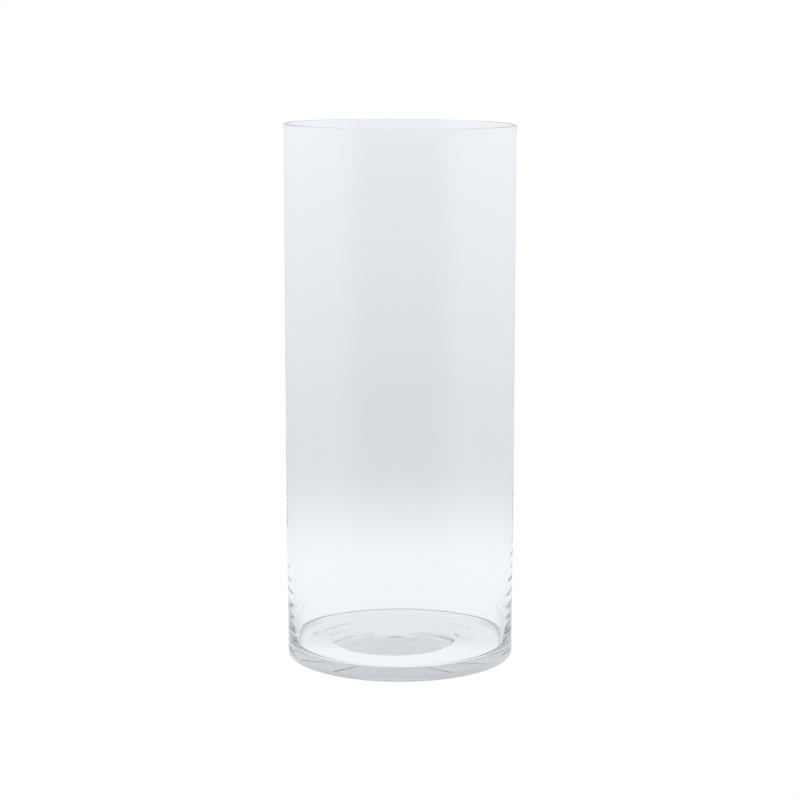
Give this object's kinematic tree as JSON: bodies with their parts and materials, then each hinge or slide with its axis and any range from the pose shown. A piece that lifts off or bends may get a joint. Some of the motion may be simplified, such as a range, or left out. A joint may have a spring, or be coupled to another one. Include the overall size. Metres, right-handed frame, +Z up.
{
  "type": "cylinder vase",
  "caption": "Tall clear glass cylinder vase with a thick flat base, straight even wall and polished open mouth, for cut flowers.",
  "frame": {"origin": "centre of the foot, on the surface the vase stands on", "axes": "+Z up along the vase's axis, from the foot to the mouth; the vase is round but for the hollow under the foot, which is deepest on the -Y side; +X is to the right of that side"},
  "size_m": [0.15, 0.15, 0.35],
  "materials": {
    "clear_glass": "clear soda-lime glass, polished, with faint mould rings low on the wall"
  },
  "bodies": {
    "root": {"base": "clear_glass", "heel": "clear_glass", "side_wall": "clear_glass", "rim": "clear_glass"}
  },
  "joints": []
}
